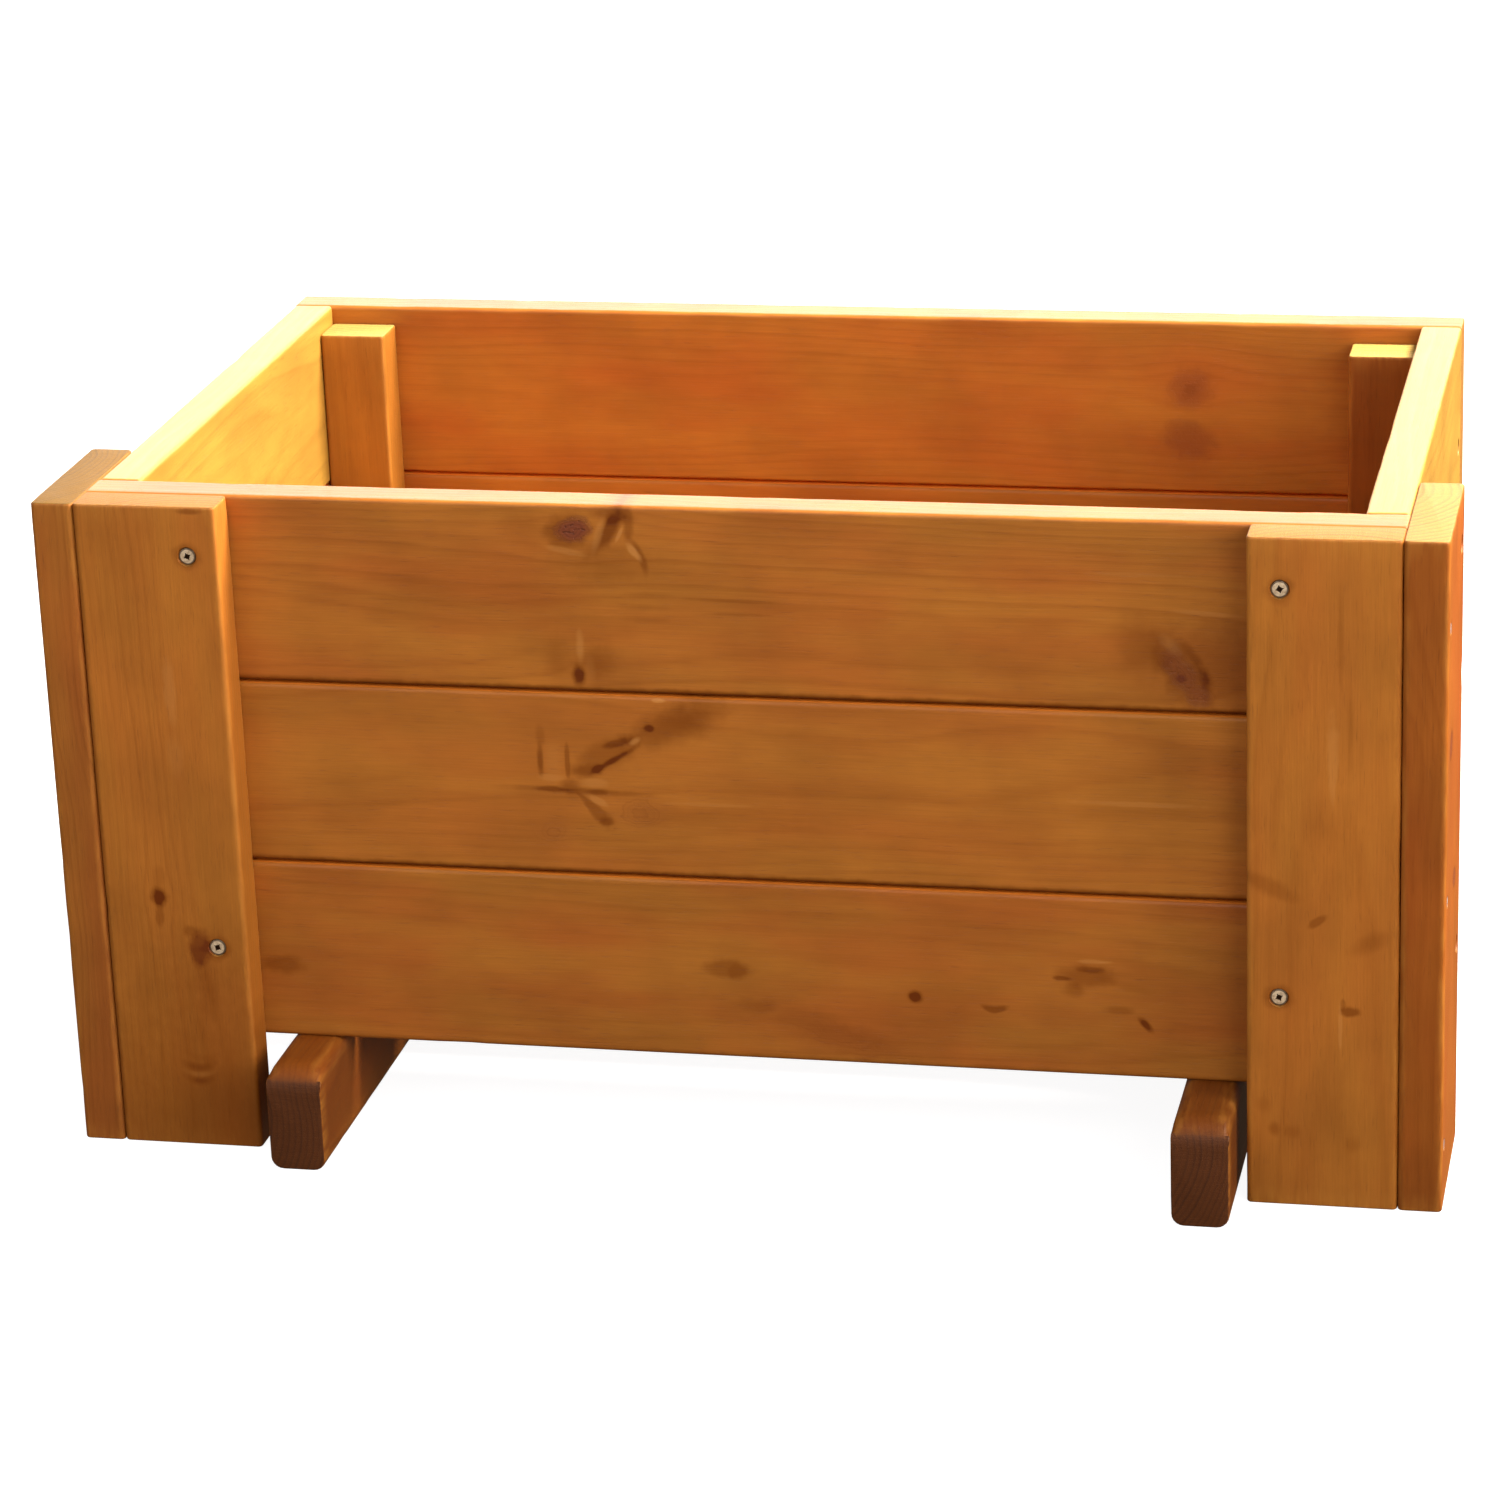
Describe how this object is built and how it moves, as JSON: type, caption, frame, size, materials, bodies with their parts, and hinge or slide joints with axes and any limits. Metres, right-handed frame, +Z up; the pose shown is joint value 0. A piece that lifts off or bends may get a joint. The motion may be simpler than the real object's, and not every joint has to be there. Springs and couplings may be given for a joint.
{
  "type": "wooden trough planter",
  "caption": "Rectangular trough planter of stained tongued-and-grooved softwood boards, standing on front corner legs and two skids.",
  "frame": {"origin": "middle of the footprint (skids and legs included), on the ground", "axes": "+X to the planter's right seen from the front, +Y from front to back, +Z up; the two leg boards stand on the -Y side"},
  "size_m": [0.656, 0.41, 0.3231],
  "materials": {
    "wall_boards": "satin orange-brown stained pine",
    "end_boards": "satin orange-brown stained pine",
    "leg_boards": "satin orange-brown stained pine",
    "battens": "satin orange-brown stained pine",
    "skids": "satin brown stained softwood",
    "floor_slats": "satin stained softwood",
    "screws": "yellow zinc plated",
    "nails": "bright zinc plated"
  },
  "bodies": {
    "root": {"front_board_top": "wall_boards", "back_board_top": "wall_boards", "left_end_board_top": "end_boards", "right_end_board_top": "end_boards", "front_board_middle": "wall_boards", "back_board_middle": "wall_boards", "left_end_board_middle": "end_boards", "right_end_board_middle": "end_boards", "front_board_bottom": "wall_boards", "back_board_bottom": "wall_boards", "left_end_board_bottom": "end_boards", "right_end_board_bottom": "end_boards", "left_leg_face_board": "leg_boards", "left_leg_side_board": "leg_boards", "left_back_batten": "battens", "left_skid": "skids", "right_leg_face_board": "leg_boards", "right_leg_side_board": "leg_boards", "right_back_batten": "battens", "right_skid": "skids", "floor_slat_1": "floor_slats", "floor_slat_2": "floor_slats", "floor_slat_3": "floor_slats", "floor_slat_4": "floor_slats", "leg_face_screws": "screws", "leg_side_screws": "screws", "back_batten_screws": "screws", "end_batten_screws": "screws", "leg_corner_nails": "nails", "front_corner_nails": "nails", "slat_end_nails": "nails", "slat_skid_nails": "nails"}
  },
  "joints": []
}
